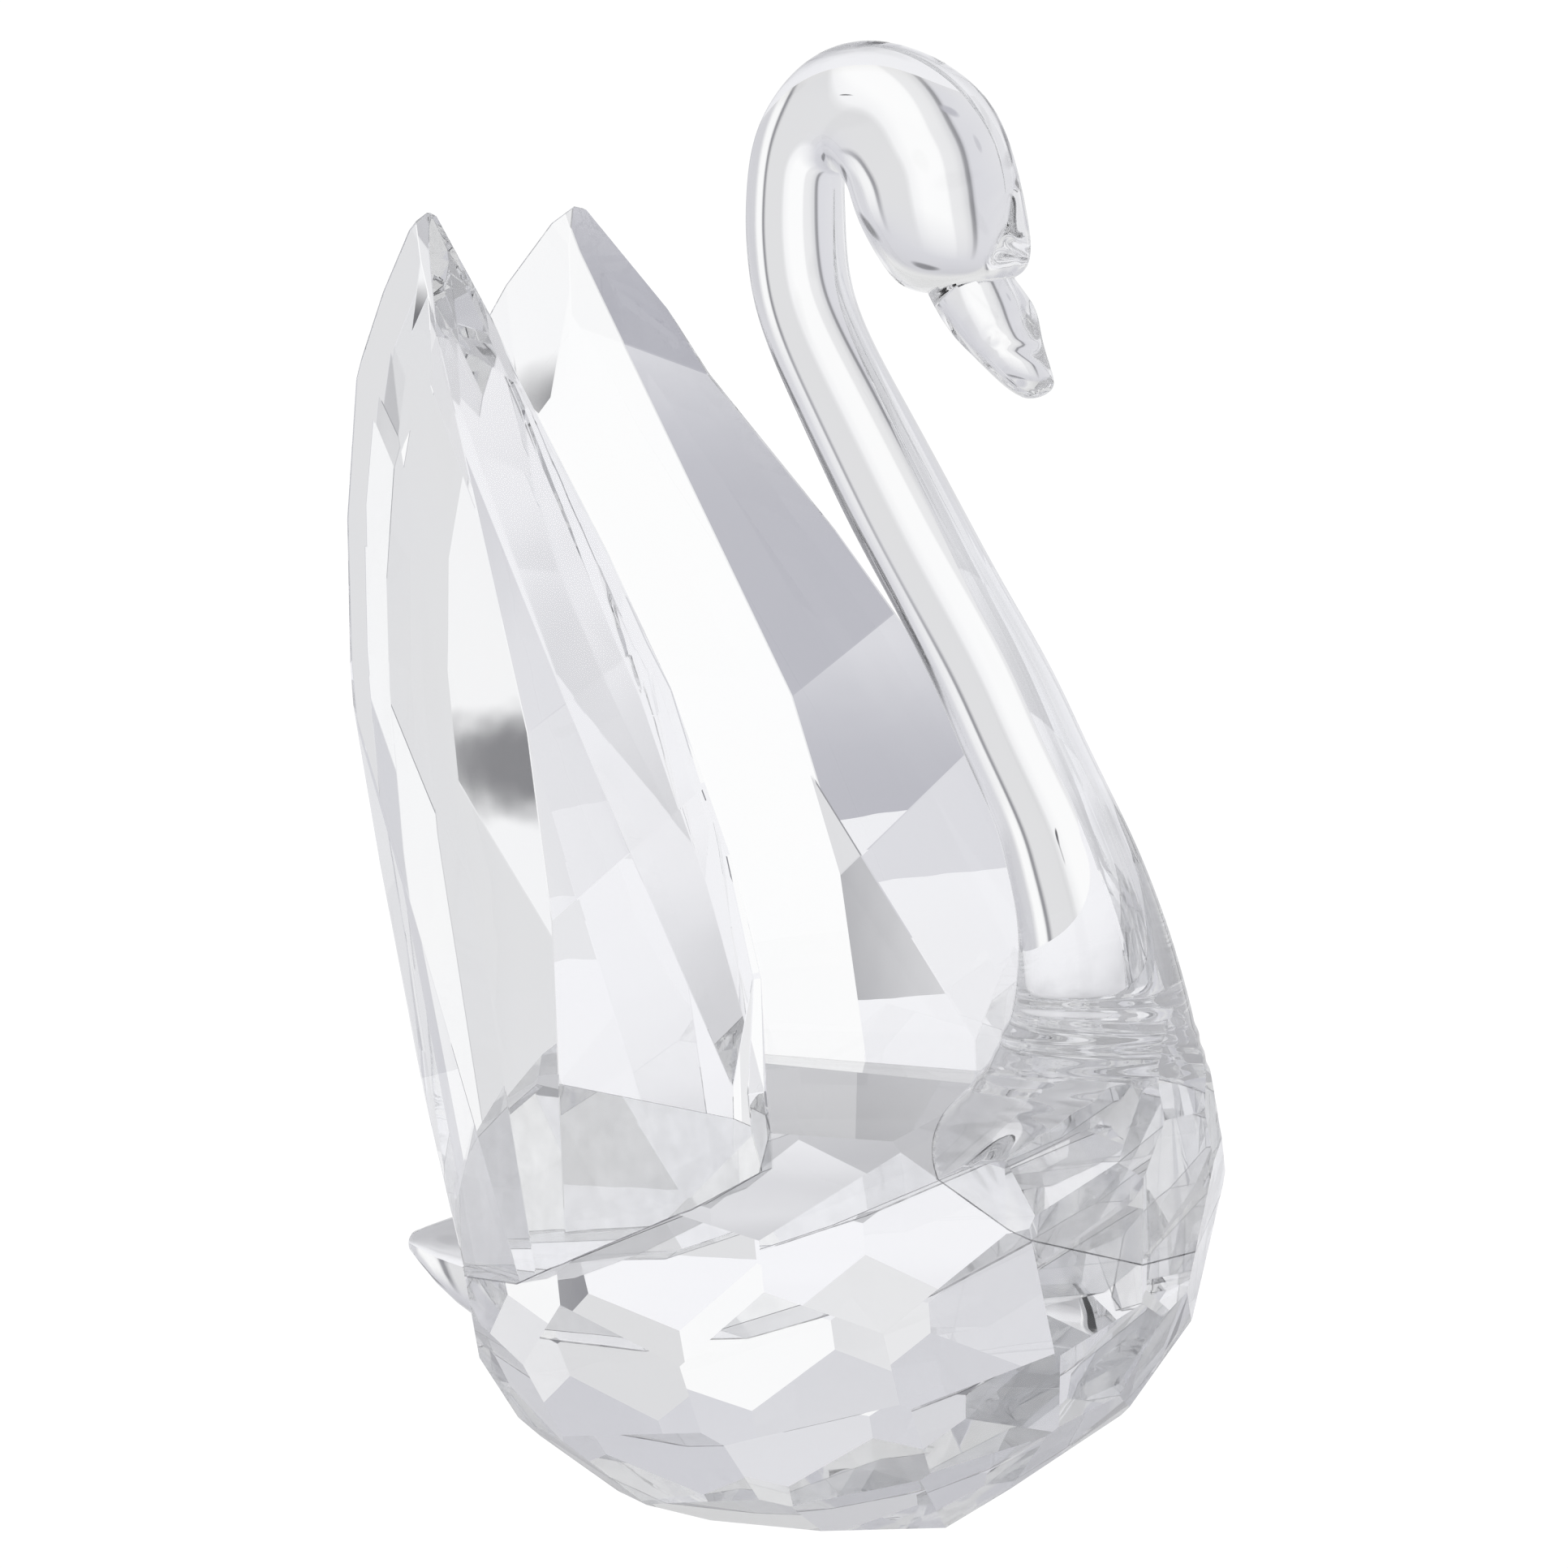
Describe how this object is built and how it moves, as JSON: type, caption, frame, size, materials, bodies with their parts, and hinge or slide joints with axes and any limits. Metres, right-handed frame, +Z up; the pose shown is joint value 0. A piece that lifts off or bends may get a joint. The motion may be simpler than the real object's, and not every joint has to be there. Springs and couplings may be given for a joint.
{
  "type": "crystal swan figurine",
  "caption": "Clear faceted crystal swan standing on a small flat, with upright leaf-shaped wings, a slim arched neck and a pointed tail.",
  "frame": {"origin": "middle of the small flat under the body, on the surface it stands on", "axes": "+Z up; the swan faces -Y; +X is the swan's left side"},
  "size_m": [0.0404, 0.066, 0.1006],
  "materials": {
    "crystal": "polished facets, clear",
    "adhesive": "clear cured film"
  },
  "bodies": {
    "root": {"body": "crystal", "wing_left": "crystal", "wing_right": "crystal", "neck_and_head": "crystal", "tail": "crystal", "neck_bond": "adhesive", "wing_bond_left": "adhesive", "wing_bond_right": "adhesive", "tail_bond": "adhesive"}
  },
  "joints": []
}
